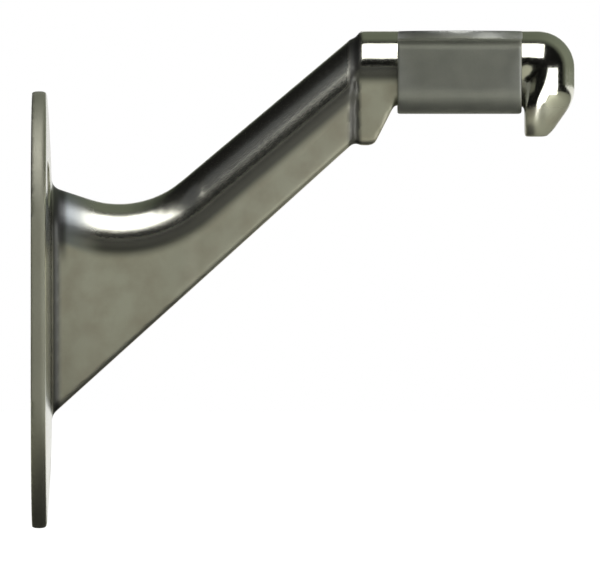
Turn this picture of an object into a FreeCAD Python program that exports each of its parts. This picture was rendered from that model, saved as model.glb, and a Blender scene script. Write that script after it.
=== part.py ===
"""Handrail bracket: a one-piece cast wall bracket and the folded sheet strap that holds the rail to it.

Frame: millimetres. The origin is the centre of the wall plate's back face, +X points away from the
wall, +Z points up, and Y runs along the wall. The part is symmetric about the plane Y = 0.
"""

import FreeCAD, Part
import os
from math import asin, atan, cos, hypot, pi, radians, sin, sqrt, tan

V = FreeCAD.Vector

# ---- driving dimensions (mm, degrees) ----
# wall plate: a long plate with round ends and a crowned front
plate_height = 76.5
plate_width = 44.0
plate_rim = 2.6  # thickness at the rim
plate_crown = 3.5  # thickness on the centre line
rim_round = 0.7

# three countersunk wood screws: two beside the arm, where a driver passes it, and one below
wall_screw_hole = 4.6
wall_screw_head = 8.6
countersink_angle = 82.0
upper_screw_spacing = 25.0
upper_screw_height = 22.0
lower_screw_drop = 28.0

# arm: a round bead on top of a web whose sides draw in downwards
bead_radius = 6.5
web_draft = 7.0  # of each side of the web
web_edge_round = 1.2
root_top = 21.5  # where the arm's top line meets the plate
root_bottom = -18.4  # where its underside meets the plate
root_slope = 18.0  # the top line falls away from the plate
saddle_reach = 18.9  # its slope and the rising line meet this far from the wall
saddle_radius = 16.8  # of the arc that joins them
saddle_step = 2.0  # between the sections of the loft over the saddle
root_fillet = 1.8

# elbow: where the arm ends and the rail seat starts, marked by a V groove
seat_height = 48.8  # top of the seat above the plate's centre
elbow_depth = 20.0  # from the top of the seat to the underside of the shoulder
groove_depth = 0.5
groove_half_width = 0.8

# rail seat: a bar with the arm's section, between the shoulder and the turned-down end
projection = 95.0  # of the hook's far side from the wall
hook_thickness = 8.8
notch_length = 22.8  # under the bar, between the shoulder and the hook: room for the strap
shoulder_length = 6.0
shoulder_angle = 63.0
shoulder_round = 1.4
seat_depth = 13.0
seat_edge_round = 2.5
hook_drop = 18.5  # from the top of the seat to the end of the hook
hook_straight = 3.4  # the bar's axis runs straight down this far after the corner
hook_curl_back = 2.3  # then it curls back towards the wall
hook_curl_drop = 3.3

# strap: a flat bar folded round the underside of the seat, with two rail screw holes
strap_width = 21.7
strap_span = 66.0
strap_thickness = 1.5
strap_clearance = 0.15  # between the bar and each side of the strap's fold
strap_fold_ease = 0.5  # the fold's inside corners are this much rounder than the bar's edges
strap_pull_up = 0.3  # the strap's wings stay this much below the rail until they are screwed up
strap_bend = 1.5  # inside radius where the wings turn out
strap_hole = 4.9
strap_hole_spacing = 46.0

# ---- derived places ----
half_height = plate_height / 2
half_width = plate_width / 2
hook_inner = projection - hook_thickness
notch_start = hook_inner - notch_length
strap_centre = notch_start + notch_length / 2
strap_fold_radius = seat_edge_round + strap_fold_ease
elbow_reach = notch_start - shoulder_length  # the arm's top line meets the seat's top line here
elbow_bottom = seat_height - elbow_depth
saddle_foot = root_top - (saddle_reach - plate_crown) * tan(radians(root_slope))
arm_slope = (seat_height - saddle_foot) / (elbow_reach - saddle_reach)


def other_side(point):
    """The same point on the other side of the plane of symmetry."""
    return V(point.x, -point.y, point.z)


def round_corner(before, corner, after, radius):
    """Start, middle and end of the arc that rounds a corner between two straight lines."""
    back, ahead = (before - corner).normalize(), (after - corner).normalize()
    half_corner = back.getAngle(ahead) / 2
    setback = radius / tan(half_corner)
    middle = (back + ahead).normalize() * (radius / sin(half_corner) - radius)
    return corner + back * setback, corner + middle, corner + ahead * setback


def turned(shape, angle, axis=V(0, 0, 1), about=V(0, 0, 0)):
    """A copy of the shape, turned about an axis."""
    copy = shape.copy()
    copy.rotate(about, axis, angle)
    return copy


# ---- wall plate ----
def plate_profile():
    """Half section of the crowned plate: Y outwards from the centre line, X from the wall.

    The crown is one shallow arc, and a small arc tangent to it rounds the rim.
    """
    sag = plate_crown - plate_rim
    crown_radius = (half_width**2 + sag**2) / (2 * sag)
    crown_centre = V(plate_crown - crown_radius, 0, 0)
    across = half_width - rim_round
    along = sqrt((crown_radius - rim_round) ** 2 - across**2)
    round_centre = crown_centre + V(along, across, 0)
    outward = (round_centre - crown_centre).normalize()
    between = (outward + V(0, 1, 0)).normalize()
    halfway = (outward + V(1, 0, 0)).normalize()
    back_edge = V(0, half_width, 0)
    rim = round_centre + V(0, rim_round, 0)
    on_round = round_centre + between * rim_round
    shoulder = round_centre + outward * rim_round
    on_crown = crown_centre + halfway * crown_radius
    top = V(plate_crown, 0, 0)
    edges = [
        Part.makeLine(V(0, 0, 0), back_edge),
        Part.makeLine(back_edge, rim),
        Part.Arc(rim, on_round, shoulder).toShape(),
        Part.Arc(shoulder, on_crown, top).toShape(),
        Part.makeLine(top, V(0, 0, 0)),
    ]
    return Part.Face(Part.Wire(edges))


def wall_plate():
    """Straight middle with a half-round end above and below, all with one crowned section."""
    straight = half_height - half_width
    half = plate_profile()
    other_half = turned(half, 180, V(1, 0, 0))
    low, high = V(0, 0, -straight), V(0, 0, straight)
    middle = half.translated(low).extrude(high - low)
    other_middle = other_half.translated(low).extrude(high - low)
    upper = half.translated(high).revolve(high, V(1, 0, 0), 180)
    lower = half.translated(low).revolve(low, V(1, 0, 0), -180)
    return middle.fuse([other_middle, upper, lower]).removeSplitter()


def wall_screw_places():
    return [
        (upper_screw_spacing / 2, upper_screw_height),
        (-upper_screw_spacing / 2, upper_screw_height),
        (0, -lower_screw_drop),
    ]


def thickness_at(y, z):
    """Thickness of the crowned plate at a place on its face."""
    beyond_straight = max(abs(z) - (half_height - half_width), 0)
    off_centre = hypot(y, beyond_straight) / half_width
    return plate_crown - (plate_crown - plate_rim) * off_centre**2


def wall_screw_cutters():
    """Clearance holes through the plate, countersunk so that flat heads lie level with its front."""
    head = wall_screw_head / 2
    hole = wall_screw_hole / 2
    flare = tan(radians(countersink_angle / 2))
    sink = (head - hole) / flare
    beyond = 1
    cutters = []
    for y, z in wall_screw_places():
        through = Part.makeCylinder(hole, plate_crown + 2, V(-1, y, z), V(1, 0, 0))
        cone_foot = V(thickness_at(y, z) - sink, y, z)
        cone = Part.makeCone(hole, head + beyond * flare, sink + beyond, cone_foot, V(1, 0, 0))
        cutters += [through, cone]
    return cutters


# ---- arm ----
def saddle_arc():
    """Where the arc that joins the arm's two straight top lines starts and ends."""
    fall, rise = radians(root_slope), atan(arm_slope)
    tangent = saddle_radius * tan((fall + rise) / 2)
    return saddle_reach - tangent * cos(fall), saddle_reach + tangent * cos(rise)


def top_at(x):
    """Height and slope (radians) of the arm's top line at a distance from the wall."""
    arc_start, arc_end = saddle_arc()
    fall, rise = radians(root_slope), atan(arm_slope)
    if x <= arc_start:
        return root_top - (x - plate_crown) * tan(fall), -fall
    if x >= arc_end:
        return seat_height - (elbow_reach - x) * arm_slope, rise
    slope = asin((x - arc_start) / saddle_radius - sin(fall))
    start_z = root_top - (arc_start - plate_crown) * tan(fall)
    return start_z + saddle_radius * (cos(fall) - cos(slope)), slope


def bottom_at(x):
    """Height of the arm's straight underside, which runs into the underside of the elbow."""
    end_x = elbow_reach - 2 * groove_half_width
    return root_bottom + (elbow_bottom - root_bottom) * (x - plate_crown) / (end_x - plate_crown)


def web_section(x, top, bottom, slope=0.0, inset=0.0, edge_round=web_edge_round):
    """Upright section: a round bead on top, two sides drawn in by the draft, and a flat underside.

    The bead is round square to the slope, so in the upright plane it is an ellipse.
    """
    draft = radians(web_draft)
    radius = bead_radius - inset
    top, bottom = top - inset, bottom + inset
    stretch = 1 / cos(slope)
    centre = V(x, 0, top - radius * stretch)
    side = V(x, radius * cos(draft), centre.z - radius * stretch * sin(draft))
    foot = V(x, side.y - (side.z - bottom) * tan(draft) / stretch, bottom)
    on_side, on_round, on_foot = round_corner(side, foot, V(x, 0, bottom), edge_round)
    crest = centre + V(0, 0, radius * stretch)
    if slope:
        ellipse = Part.Ellipse(crest, centre + V(0, radius, 0), centre)
        bead = Part.ArcOfEllipse(ellipse, -pi / 2 - draft, pi / 2 + draft)
    else:
        bead = Part.Arc(other_side(side), crest, side)
    edges = [
        bead.toShape(),
        Part.makeLine(side, on_side),
        Part.Arc(on_side, on_round, on_foot).toShape(),
        Part.makeLine(on_foot, other_side(on_foot)),
        Part.Arc(*[other_side(p) for p in (on_foot, on_round, on_side)]).toShape(),
        Part.makeLine(other_side(on_side), other_side(side)),
    ]
    return Part.Wire(Part.__sortEdges__(edges))


def arm_section(x):
    top, slope = top_at(x)
    return web_section(x, top, bottom_at(x), slope)


def arm():
    """A smooth loft from inside the plate over the saddle, then a straight taper to the elbow."""
    start_x, end_x = plate_crown / 2, elbow_reach - 2 * groove_half_width
    straight_x = saddle_arc()[1] + 2 * saddle_step
    steps = round((straight_x - start_x) / saddle_step)
    xs = [start_x + (straight_x - start_x) * i / steps for i in range(steps + 1)]
    saddle = Part.makeLoft([arm_section(x) for x in xs], True, False)
    straight = Part.makeLoft([arm_section(straight_x), arm_section(end_x)], True, True)
    return [saddle, straight]


# ---- elbow and rail seat ----
def groove():
    """The V groove round the elbow: the casting narrows to its root and widens again."""
    end_x = elbow_reach - 2 * groove_half_width
    root_x = elbow_reach - groove_half_width
    top, slope = top_at(end_x)
    root = top_at(root_x)[0]
    at_arm = web_section(end_x, top, elbow_bottom, slope)
    at_root = web_section(root_x, root, elbow_bottom, 0.0, groove_depth)
    at_seat = web_section(elbow_reach, seat_height, elbow_bottom)
    return [Part.makeLoft(pair, True, True) for pair in ([at_arm, at_root], [at_root, at_seat])]


def shoulder():
    """The web under the start of the seat, cut back to a slanting face with a rounded foot."""
    underside = seat_height - seat_depth
    foot_x = notch_start - (underside - elbow_bottom) / tan(radians(shoulder_angle))
    foot, knee = V(foot_x, 0, elbow_bottom), V(notch_start, 0, underside)
    crown, heel = V(notch_start, 0, seat_height), V(elbow_reach, 0, elbow_bottom)
    arc = round_corner(heel, foot, knee, shoulder_round)
    side = [heel, arc[0]], [arc[2], knee], [knee, crown], [crown, V(heel.x, 0, crown.z)]
    edges = [Part.makeLine(*ends) for ends in side + ([V(heel.x, 0, crown.z), heel],)]
    outline = Part.Wire(Part.__sortEdges__(edges + [Part.Arc(*arc).toShape()]))
    reach = V(0, 2 * bead_radius, 0)
    cut_back = Part.Face(outline).translated(-reach).extrude(reach * 2)
    web = Part.Face(web_section(elbow_reach, seat_height, elbow_bottom))
    return web.extrude(V(notch_start - elbow_reach, 0, 0)).common(cut_back)


def bar():
    """The rail seat itself, with its lower edges rounded to fit the strap."""
    section = web_section(
        elbow_reach, seat_height, seat_height - seat_depth, edge_round=seat_edge_round
    )
    return Part.Face(section).extrude(V(projection - bead_radius - elbow_reach, 0, 0))


def hook():
    """The turned-down end: the bar rolls over a ball corner, and its inner side is flat."""
    r = bead_radius
    bend = V(projection - r, 0, seat_height - r)
    belly = bend - V(0, 0, hook_straight)
    nose = belly - V(hook_curl_back, 0, hook_curl_drop)
    rolled = Part.makeSphere(r, bend)
    for start, end in ((bend, belly), (belly, nose)):
        run = end - start
        rolled = rolled.fuse([Part.makeCylinder(r, run.Length, start, run), Part.makeSphere(r, end)])
    room = Part.makeBox(
        projection - hook_inner, 2 * r, hook_drop, V(hook_inner, -r, seat_height - hook_drop)
    )
    return rolled.common(room)


def root_edges(body):
    """The edges round the arm where it leaves the plate's crown."""
    edges = []
    for edge in body.Edges:
        box = edge.BoundBox
        on_plate = plate_rim < box.XMin and box.XMax < plate_crown + 0.1
        on_arm = max(-box.YMin, box.YMax) < bead_radius + 0.1
        if on_plate and on_arm:
            edges.append(edge)
    return edges


def bracket():
    """The whole casting, filleted where the arm leaves the plate, with its fixing holes."""
    body = wall_plate().fuse(arm() + groove() + [shoulder(), bar(), hook()]).removeSplitter()
    body = body.Solids[0].makeFillet(root_fillet, root_edges(body))
    return body.cut(wall_screw_cutters())


# ---- strap ----
def strap_fold():
    """Cross-section of the strap, across the bar: two flat wings and a fold under the bar."""
    wall_in = bead_radius + strap_clearance
    wall_out = wall_in + strap_thickness
    floor_in = seat_height - seat_depth
    floor_out = floor_in - strap_thickness
    top = seat_height - strap_pull_up
    under = top - strap_thickness
    wing_end = strap_span / 2
    inner_line = [V(0, 0, floor_in), V(0, wall_in, floor_in), V(0, wall_in, top), V(0, wing_end, top)]
    outer_line = [
        V(0, 0, floor_out), V(0, wall_out, floor_out), V(0, wall_out, under), V(0, wing_end, under)
    ]
    right = folded_line(inner_line, strap_fold_radius, strap_bend + strap_thickness)
    right += folded_line(outer_line, strap_fold_radius + strap_thickness, strap_bend)
    right.append(Part.makeLine(inner_line[-1], outer_line[-1]))
    left = [e.mirror(V(0, 0, 0), V(0, 1, 0)) for e in right]
    return Part.Face(Part.Wire(Part.__sortEdges__(right + left)))


def folded_line(points, first_radius, second_radius):
    """Edges of a line through four points, with its two corners rounded."""
    start, low, high, end = points
    first = round_corner(start, low, high, first_radius)
    second = round_corner(low, high, end, second_radius)
    return [
        Part.makeLine(start, first[0]),
        Part.Arc(*first).toShape(),
        Part.makeLine(first[2], second[0]),
        Part.Arc(*second).toShape(),
        Part.makeLine(second[2], end),
    ]


def strap_outline():
    """Plan of the strap: straight sides with full-round ends, as an upright prism."""
    radius = strap_width / 2
    reach = strap_span / 2 - radius
    low = seat_height - seat_depth - 2 * strap_thickness
    height = seat_height - low + 1
    middle = Part.makeBox(strap_width, 2 * reach, height, V(strap_centre - radius, -reach, low))
    ends = [Part.makeCylinder(radius, height, V(strap_centre, y, low)) for y in (-reach, reach)]
    return middle.fuse(ends).removeSplitter()


def strap():
    blank = strap_fold().translated(V(strap_centre - strap_width, 0, 0))
    body = blank.extrude(V(2 * strap_width, 0, 0)).common(strap_outline())
    for y in (-strap_hole_spacing / 2, strap_hole_spacing / 2):
        foot = V(strap_centre, y, seat_height - 3 * strap_thickness)
        body = body.cut(Part.makeCylinder(strap_hole / 2, 4 * strap_thickness, foot))
    return body.removeSplitter()


def main():
    os.makedirs("parts", exist_ok=True)
    bracket().exportStep("parts/bracket_casting.step")
    strap().exportStep("parts/rail_strap.step")


main()
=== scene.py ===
"""Studio scene for the handrail bracket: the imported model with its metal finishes, lit and framed."""

import math

import bpy
import numpy as np
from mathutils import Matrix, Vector


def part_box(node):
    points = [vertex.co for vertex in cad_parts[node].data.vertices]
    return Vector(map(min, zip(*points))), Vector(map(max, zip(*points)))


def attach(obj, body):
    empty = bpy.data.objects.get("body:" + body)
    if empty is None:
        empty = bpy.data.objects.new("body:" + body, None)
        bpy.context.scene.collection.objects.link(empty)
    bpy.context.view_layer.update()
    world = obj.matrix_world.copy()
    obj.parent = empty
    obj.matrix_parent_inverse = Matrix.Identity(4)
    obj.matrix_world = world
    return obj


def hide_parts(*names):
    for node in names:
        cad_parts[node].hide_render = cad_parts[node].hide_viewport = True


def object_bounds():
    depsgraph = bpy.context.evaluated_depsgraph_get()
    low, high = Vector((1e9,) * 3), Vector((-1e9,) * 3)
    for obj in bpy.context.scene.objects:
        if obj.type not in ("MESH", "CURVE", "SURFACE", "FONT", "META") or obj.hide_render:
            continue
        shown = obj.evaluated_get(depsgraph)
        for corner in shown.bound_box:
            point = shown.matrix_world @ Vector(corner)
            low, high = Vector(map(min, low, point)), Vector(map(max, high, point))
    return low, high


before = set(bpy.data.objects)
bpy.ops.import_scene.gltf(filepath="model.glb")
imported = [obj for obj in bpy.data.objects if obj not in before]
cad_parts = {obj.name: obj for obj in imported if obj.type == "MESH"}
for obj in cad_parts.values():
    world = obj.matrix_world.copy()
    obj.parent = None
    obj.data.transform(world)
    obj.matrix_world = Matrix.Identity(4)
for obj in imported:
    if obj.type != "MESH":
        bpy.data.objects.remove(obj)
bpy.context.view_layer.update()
scene = bpy.context.scene
scene.view_settings.view_transform = "Standard"

MM = 0.001
low, high = [Vector(corner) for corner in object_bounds()]
strap_low = Vector(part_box("rail_strap")[0])

# ---- the casting's main lines, which its finishes and reshaping follow ----
PLATE_FRONT = 3.6 * MM  # just in front of the plate's crown
BEAD = 6.5 * MM  # radius of the round along the top of the arm and the bar
DRAFT = math.radians(7.0)  # of each side of the web under it
SEAT_TOP = high.z
ELBOW = strap_low.x - 6.55 * MM  # where the arm ends and the bar starts
HOOK_INNER = high.x - 8.8 * MM
HOOK_CENTRE = high.x - 4.6 * MM
SADDLE_X = 18.9 * MM  # the root's and the arm's top lines meet here, before the arc joins them
SADDLE_Z = 16.5 * MM
SADDLE_RADIUS = 16.8 * MM
ROOT_SLOPE = math.radians(18.0)
ARM_SLOPE = math.atan2(SEAT_TOP - SADDLE_Z, ELBOW - SADDLE_X)


# ---- camera: a long lens, level and square to the side of the bracket ----
VIEW_WIDTH = 105 * MM
CAMERA_DISTANCE = 4.0
SENSOR_WIDTH = 36.0
aim = Vector((low.x + 46.9 * MM, 0.0, low.z + 41.79 * MM))
camera_data = bpy.data.cameras.new("camera")
camera_data.sensor_width = SENSOR_WIDTH
camera_data.lens = SENSOR_WIDTH * CAMERA_DISTANCE / VIEW_WIDTH
camera_data.clip_start = 0.01
camera = bpy.data.objects.new("camera", camera_data)
camera.location = aim + Vector((0.0, -CAMERA_DISTANCE, 0.0))
camera.rotation_euler = (math.pi / 2, 0.0, 0.0)
scene.collection.objects.link(camera)
scene.camera = camera


# ---- node helpers ----
class Tree:
    """A node tree, emptied, with short ways to add and join nodes."""

    def __init__(self, tree):
        self.tree = tree
        self.links = tree.links
        tree.nodes.clear()

    def add(self, kind, inputs=None, **settings):
        node = self.tree.nodes.new(kind)
        for name, value in settings.items():
            setattr(node, name, value)
        for name, value in (inputs or {}).items():
            if hasattr(value, "is_output"):
                self.links.new(value, node.inputs[name])
            else:
                node.inputs[name].default_value = value
        return node

    def math(self, operation, a, b=0.0):
        return self.add("ShaderNodeMath", {0: a, 1: b}, operation=operation).outputs[0]

    def map(self, value, start, end, low=0.0, high=1.0, smooth=False):
        """The value's place between start and end, clamped, on the scale from low to high."""
        kind = "SMOOTHSTEP" if smooth else "LINEAR"
        inputs = {"Value": value, "From Min": start, "From Max": end, "To Min": low, "To Max": high}
        return self.add("ShaderNodeMapRange", inputs, interpolation_type=kind).outputs[0]

    def noise(self, place, scale, detail):
        inputs = {"Vector": place, "Scale": scale, "Detail": detail}
        return self.add("ShaderNodeTexNoise", inputs).outputs["Fac"]

    def ramp(self, value, stops):
        """A colour for the value; a stop's colour is three numbers, or one for a grey."""
        node = self.add("ShaderNodeValToRGB", {"Fac": value})
        elements = node.color_ramp.elements
        while len(elements) < len(stops):
            elements.new(0.5)
        for element, (position, colour) in zip(elements, stops):
            element.position = position
            if isinstance(colour, (int, float)):
                colour = (colour, colour, colour)
            element.color = (*colour, 1.0)
        return node.outputs["Color"]

    def blend(self, factor, a, b):
        """The number a, and b where the factor is 1."""
        return self.add("ShaderNodeMix", {0: factor, 2: a, 3: b}).outputs[0]

    def mix(self, factor, a, b):
        """The colour a, and b where the factor is 1; sockets 6 and 7 are the node's two colours."""
        node = self.add("ShaderNodeMix", {0: factor}, data_type="RGBA")
        for index, colour in ((6, a), (7, b)):
            if hasattr(colour, "is_output"):
                self.links.new(colour, node.inputs[index])
            else:
                node.inputs[index].default_value = (*colour, 1.0)
        return node.outputs[2]

    def finish(self, surface, output="ShaderNodeOutputMaterial"):
        self.links.new(surface.outputs[0], self.add(output).inputs["Surface"])


# ---- world: white to the camera, and to metal straight behind; a dim studio elsewhere ----
world = bpy.data.worlds.new("studio")
world.use_nodes = True
scene.world = world
w = Tree(world.node_tree)
direction = w.add("ShaderNodeTexCoord").outputs["Generated"]
side, depth, height = w.add("ShaderNodeSeparateXYZ", {0: direction}).outputs
front = w.ramp(w.map(height, -1.0, 1.0), [
    (0.0, (0.30, 0.30, 0.25)),
    (0.46, (0.05, 0.05, 0.04)),
    (0.50, 0.005),
    (1.0, 0.01),
])
back = w.ramp(w.map(side, -1.0, 1.0), [
    (0.28, 0.01),
    (0.45, (0.17, 0.19, 0.15)),
    (1.0, (0.26, 0.28, 0.22)),
])
room = w.mix(w.map(depth, -0.15, 0.25), front, back)
rays = w.add("ShaderNodeLightPath").outputs
straight_behind = w.math("GREATER_THAN", depth, 0.94)  # within 20 degrees
reflected = w.math("MULTIPLY", rays["Is Glossy Ray"], straight_behind)
seen = w.math("MAXIMUM", rays["Is Camera Ray"], rays["Is Transmission Ray"])
colour = w.mix(w.math("MAXIMUM", seen, reflected), room, (1.0, 1.0, 1.0))
w.finish(w.add("ShaderNodeBackground", {"Color": colour, "Strength": 1.0}), "ShaderNodeOutputWorld")


# ---- lights ----
STUDIO_DISTANCE = 0.9
CARD_DISTANCE = 0.24
WHITE = (1.0, 1.0, 1.0)
SKY = (0.84, 0.88, 1.0)


def area_light(name, target, distance, azimuth, elevation, size, radiance, colour=WHITE):
    """A rectangular lamp that faces its target; radiance is its own brightness.

    Azimuth is in degrees from the camera's side towards +X, and elevation upwards.
    """
    turn, rise = math.radians(azimuth), math.radians(elevation)
    offset = Vector((math.sin(turn) * math.cos(rise), -math.cos(turn) * math.cos(rise), math.sin(rise)))
    data = bpy.data.lights.new(name, "AREA")
    data.shape = "RECTANGLE"
    data.size, data.size_y = size
    data.energy = radiance * math.pi * data.size * data.size_y
    data.color = colour
    lamp = bpy.data.objects.new(name, data)
    lamp.location = target + distance * offset
    lamp.rotation_euler = (-offset).to_track_quat("-Z", "Y").to_euler()
    lamp.visible_camera = False
    scene.collection.objects.link(lamp)


hook_corner = Vector((high.x - BEAD, 0.0, high.z - BEAD))
area_light("softbox", aim, STUDIO_DISTANCE, 0, 57, (0.62, 0.82), 3.2)
area_light("side_card", hook_corner, CARD_DISTANCE, 47, -8, (0.15, 0.10), 3.0)
area_light("window", aim, STUDIO_DISTANCE, -62, 38, (1.1, 0.36), 0.09, SKY)


# ---- floor: pale, with the bracket's soft shadow; metal in front sees a painted dark shadow near the bracket, then a ring of pale paper, then darker farther out ----
FLOOR_DROP = 12 * MM
FLOOR_REACH = 6.0
PAPER = (0.80, 0.80, 0.68)
floor_level = low.z - FLOOR_DROP
corners = [(-1, -1), (1, -1), (1, 1), (-1, 1)]
floor_points = [(FLOOR_REACH * x, FLOOR_REACH * y, floor_level) for x, y in corners]
floor_mesh = bpy.data.meshes.new("floor")
floor_mesh.from_pydata(floor_points, [], [(0, 1, 2, 3)])
floor = bpy.data.objects.new("floor", floor_mesh)
scene.collection.objects.link(floor)
floor_material = bpy.data.materials.new("floor")
floor_material.use_nodes = True
f = Tree(floor_material.node_tree)
spot = f.add("ShaderNodeTexCoord").outputs["Object"]
middle = (aim.x, aim.y, floor_level)
away = f.add("ShaderNodeVectorMath", {0: spot, 1: middle}, operation="DISTANCE").outputs["Value"]
glow_level = f.map(away, 0.15, 0.5, 0.72, 1.0, smooth=True)
glow = f.add("ShaderNodeEmission", {"Color": (1.0, 1.0, 1.0, 1.0), "Strength": glow_level})
pale = f.add("ShaderNodeBsdfDiffuse", {"Color": (0.80, 0.80, 0.80, 1.0)})
shown_floor = f.add("ShaderNodeAddShader", {0: pale.outputs[0], 1: glow.outputs[0]})
# What metal sees of the floor: painted shadow, dark within 5 to 11 cm of the bracket, then pale paper to
# 45 cm, then dark beyond 60 cm.
ring = f.ramp(f.map(away, 0.0, 1.0), [(0.05, 0.10), (0.11, PAPER), (0.45, PAPER), (0.60, 0.05)])
paper = f.add("ShaderNodeBsdfDiffuse", {"Color": ring})
behind = f.map(f.add("ShaderNodeSeparateXYZ", {0: spot}).outputs["Y"], 0.3, 0.5)
rays = f.add("ShaderNodeLightPath").outputs
reflected = f.math("MULTIPLY", rays["Is Glossy Ray"], behind)
seen = f.math("MAXIMUM", rays["Is Camera Ray"], rays["Is Transmission Ray"])
shown = f.math("MAXIMUM", reflected, seen)
f.finish(f.add("ShaderNodeMixShader", {0: shown, 1: paper.outputs[0], 2: shown_floor.outputs[0]}))
floor_mesh.materials.append(floor_material)


# ---- metals ----
def metal(name):
    """A new material, its node tree and the place on the object."""
    material = bpy.data.materials.new(name)
    material.use_nodes = True
    tree = Tree(material.node_tree)
    return material, tree, tree.add("ShaderNodeTexCoord").outputs["Object"]


def casting_metal():
    """Bright nickel plate: polished bead, seat and hook, satin web and rim; painted shade darkens the
    band under the bead, in place of its dark reflection, and the groove and the root; a painted dim
    bluish reflection lies on the bead near the wall.
    """
    material, t, place = metal("bright_nickel")
    along = t.add("ShaderNodeSeparateXYZ", {0: place}).outputs["X"]
    normal = t.add("ShaderNodeNewGeometry").outputs["Normal"]
    facing_out = t.math("ABSOLUTE", t.add("ShaderNodeSeparateXYZ", {0: normal}).outputs["X"])
    cloud = t.noise(place, 90.0, 2.0)
    patch = t.noise(place, 220.0, 3.0)
    grain = t.noise(place, 2600.0, 3.0)

    # Where shade is painted into the colour: under the bead, in the groove and round the root.
    painted_shade = t.add("ShaderNodeAttribute", attribute_name="painted_shade").outputs["Fac"]
    web = t.add("ShaderNodeAttribute", attribute_name="web").outputs["Fac"]
    seat = t.map(along, ELBOW - 0.5 * MM, ELBOW + 0.5 * MM)
    plate = t.map(along, PLATE_FRONT, PLATE_FRONT - 0.8 * MM)
    rim = t.math("MULTIPLY", plate, t.map(facing_out, 0.9, 0.6))
    near_wall = t.map(along, 13 * MM, 6 * MM, smooth=True)
    root = t.math("MULTIPLY", near_wall, t.map(along, 3.5 * MM, 5 * MM))
    painted_dim_reflection = t.math("MULTIPLY", root, t.math("SUBTRACT", 1.0, web))
    web_patch = t.math("MULTIPLY", web, t.map(patch, 0.40, 0.70, 0.0, 0.6))

    tone = t.mix(t.map(cloud, 0.35, 0.65), (0.60, 0.59, 0.50), (0.66, 0.66, 0.57))
    tone = t.mix(web_patch, tone, (0.50, 0.46, 0.38))
    # Painted reflection: the bead near the wall is coloured a dim bluish grey in place of its bright
    # highlight.
    tone = t.mix(t.math("MULTIPLY", painted_dim_reflection, 0.8), tone, (0.25, 0.28, 0.32))
    tone = t.mix(t.math("MULTIPLY", rim, 0.7), tone, (0.34, 0.34, 0.27))
    # Painted shade: near black under the bead, in place of its dark reflection, and in the groove and
    # round the root.
    tone = t.mix(t.math("MULTIPLY", painted_shade, 0.90), tone, (0.08, 0.08, 0.08))

    arm_rough = t.map(web, 0.0, 1.0, 0.21, 0.42)
    seat_rough = t.map(web, 0.0, 1.0, 0.12, 0.40)
    rough = t.blend(seat, arm_rough, seat_rough)
    rough = t.blend(root, rough, 0.45)
    rough = t.blend(rim, rough, 0.62)
    rough = t.blend(painted_shade, rough, 0.45)
    rough = t.math("ADD", rough, t.map(grain, 0.3, 0.7, -0.03, 0.03))

    wave = t.add("ShaderNodeBump", {"Height": cloud, "Strength": 0.12, "Distance": 0.2 * MM})
    skin = t.add("ShaderNodeBump", {"Height": grain, "Strength": 0.10, "Distance": 0.02 * MM,
                                    "Normal": wave.outputs[0]})
    t.finish(t.add("ShaderNodeBsdfPrincipled", {"Base Color": tone, "Metallic": 1.0,
                                                "Roughness": rough, "Normal": skin.outputs[0]}))
    return material


def strap_metal():
    """Satin nickel on pressed strip, with faint rolling lines along it."""
    material, t, place = metal("satin_nickel")
    along_strip = (1.0, 0.06, 1.0)
    stretched = t.add("ShaderNodeVectorMath", {0: place, 1: along_strip}, operation="MULTIPLY").outputs[0]
    lines = t.noise(stretched, 3500.0, 2.0)
    patch = t.noise(place, 260.0, 3.0)
    tone = t.mix(t.map(patch, 0.3, 0.7), (0.41, 0.42, 0.40), (0.49, 0.50, 0.47))
    rough = t.math("ADD", t.map(lines, 0.3, 0.7, 0.50, 0.58), t.map(patch, 0.3, 0.7, -0.03, 0.03))
    skin = t.add("ShaderNodeBump", {"Height": lines, "Strength": 0.06, "Distance": 0.01 * MM})
    t.finish(t.add("ShaderNodeBsdfPrincipled", {"Base Color": tone, "Metallic": 1.0,
                                                "Roughness": rough, "Normal": skin.outputs[0]}))
    return material


# ---- pieces: each stands for a CAD node, and starts as an even grid of its surface ----
def even_skin(node, voxel):
    """A node's surface as small even quads; the node itself stays as it is."""
    source = bpy.data.objects[node]
    remesh = source.modifiers.new("even_skin", "REMESH")
    remesh.mode = "VOXEL"
    remesh.voxel_size = voxel
    evaluated = source.evaluated_get(bpy.context.evaluated_depsgraph_get())
    mesh = bpy.data.meshes.new_from_object(evaluated)
    source.modifiers.remove(remesh)
    return mesh


def add_piece(name, node, mesh, material, rounds):
    """A piece that stands for a node, with its sharp edges slightly worn round."""
    piece = bpy.data.objects.new(name, mesh)
    scene.collection.objects.link(piece)
    mesh.materials.clear()
    mesh.materials.append(material)
    mesh.shade_smooth()
    worn = piece.modifiers.new("worn_edges", "SMOOTH")
    worn.factor = 0.5
    worn.iterations = rounds
    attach(piece, "root")
    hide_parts(node)


def rising(value, start, end):
    """0 up to start, 1 from end on, and smooth between."""
    place = np.clip((value - start) / (end - start), 0.0, 1.0)
    return place * place * (3 - 2 * place)


def falling(value, start, end):
    return 1 - rising(value, start, end)


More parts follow.
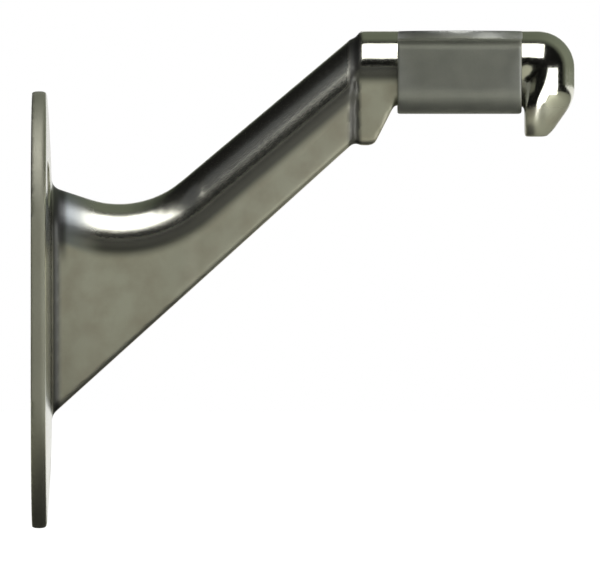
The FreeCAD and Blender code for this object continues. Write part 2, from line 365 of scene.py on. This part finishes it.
def depth_below_crest(x, z):
    """How far a point lies below the line along the top of the root, the saddle, the arm and the seat."""
    tangent = SADDLE_RADIUS * math.tan((ROOT_SLOPE + ARM_SLOPE) / 2)
    start_x = SADDLE_X - tangent * math.cos(ROOT_SLOPE)
    start_z = SADDLE_Z + tangent * math.sin(ROOT_SLOPE)
    centre_x = start_x + SADDLE_RADIUS * math.sin(ROOT_SLOPE)
    centre_z = start_z + SADDLE_RADIUS * math.cos(ROOT_SLOPE)
    swing = np.arctan2(x - centre_x, centre_z - z)
    past_arc = swing - np.clip(swing, -ROOT_SLOPE, ARM_SLOPE)
    below_arm = np.hypot(x - centre_x, z - centre_z) * np.cos(past_arc) - SADDLE_RADIUS
    return np.where(x > ELBOW - 0.8 * MM, SEAT_TOP - z, below_arm)


WEB_INSET = 0.5 * MM
HOOK_ROUND = 8.5 * MM
LEAST_HALF_WIDTH = 2 * MM


def along_web(x):
    """1 along the web, fading out at the root and at the hook."""
    return rising(x, 5 * MM, 13 * MM) * falling(x, 84.5 * MM, HOOK_INNER - 0.2 * MM)


def reshape(x, y, depth):
    """New places across the casting: the web set in under its bead, and the hook's inner side reshaped.

    The hook's inner side is narrowed towards its edge. It is also widened with depth, by as much as the
    web's draft would narrow it, so near the tip it stands up to 0.9 mm proud of the solid.
    """
    half_width = np.maximum(BEAD - (depth - BEAD) * math.tan(DRAFT), LEAST_HALF_WIDTH)
    step = rising(depth, 1.05 * BEAD, 1.45 * BEAD) * along_web(x)
    set_in = 1 - step * WEB_INSET / half_width
    off_centre = np.clip((HOOK_CENTRE - x) / HOOK_ROUND, 0.0, 0.95)
    undraft = np.where(depth > BEAD, BEAD / half_width, 1.0)
    upright = 1 + (undraft - 1) * rising(off_centre, 0.0, 0.3)
    rounder = np.sqrt(1 - off_centre**2) * upright
    on_hook = rising(x, 84.4 * MM, 87.6 * MM) * rising(depth, 0.7 * BEAD, 1.3 * BEAD)
    return y * set_in * (1 + (rounder - 1) * on_hook)


def painted_shade_bands(x, y, depth, on_arm):
    """1 where shade is painted: the band under the bead, painted dark in place of its dark reflection,
    and the groove and the root, painted dark where shade falls.
    """
    under_bead = rising(depth, 0.88 * BEAD, 1.02 * BEAD) * falling(depth, 1.2 * BEAD, 1.55 * BEAD)
    groove = falling(np.abs(x - ELBOW + 1.0 * MM), 0.8 * MM, 1.2 * MM)
    root_start = rising(x, PLATE_FRONT - 0.2 * MM, PLATE_FRONT + 0.2 * MM)
    root_line = falling(x, 4.4 * MM, 5.2 * MM)
    bead_end = falling(x, 5.4 * MM, 6.6 * MM) * falling(depth, 1.2 * BEAD, 2.0 * BEAD)
    root = root_start * np.maximum(root_line, bead_end) * falling(np.abs(y), 7.6 * MM, 8.8 * MM)
    return np.maximum(root, np.maximum(under_bead * along_web(x), groove) * on_arm)


def satin(x, depth, on_arm):
    """1 on the sides of the web and on the hook's tip."""
    below_bead = rising(depth, 1.25 * BEAD, 1.45 * BEAD)
    on_tip = rising(depth, 1.9 * BEAD, 2.2 * BEAD)
    return np.where(x > HOOK_INNER, on_tip, below_bead) * on_arm * rising(x, 3.5 * MM, 5.5 * MM)


def dress_casting(mesh):
    """Reshape the casting's surface and mark its satin places and its places of painted shade for its
    material.
    """
    points = np.empty(len(mesh.vertices) * 3, dtype=np.float32)
    mesh.vertices.foreach_get("co", points)
    x, y, z = points.reshape(-1, 3).T.copy()
    depth = depth_below_crest(x, z)
    on_arm = np.abs(y) < 1.02 * BEAD
    y = np.where(on_arm, reshape(x, y, depth), y)
    mesh.vertices.foreach_set("co", np.stack([x, y, z], axis=1).astype(np.float32).ravel())
    # The second mark says where shade is painted into the casting's colour.
    marks = {"web": satin(x, depth, on_arm), "painted_shade": painted_shade_bands(x, y, depth, on_arm)}
    for name, values in marks.items():
        layer = mesh.attributes.new(name, "FLOAT", "POINT")
        layer.data.foreach_set("value", values.astype(np.float32))


casting_mesh = even_skin("bracket_casting", 0.40 * MM)
dress_casting(casting_mesh)
add_piece("plated_casting", "bracket_casting", casting_mesh, casting_metal(), 7)
strap_mesh = even_skin("rail_strap", 0.25 * MM)
add_piece("pressed_strap", "rail_strap", strap_mesh, strap_metal(), 4)
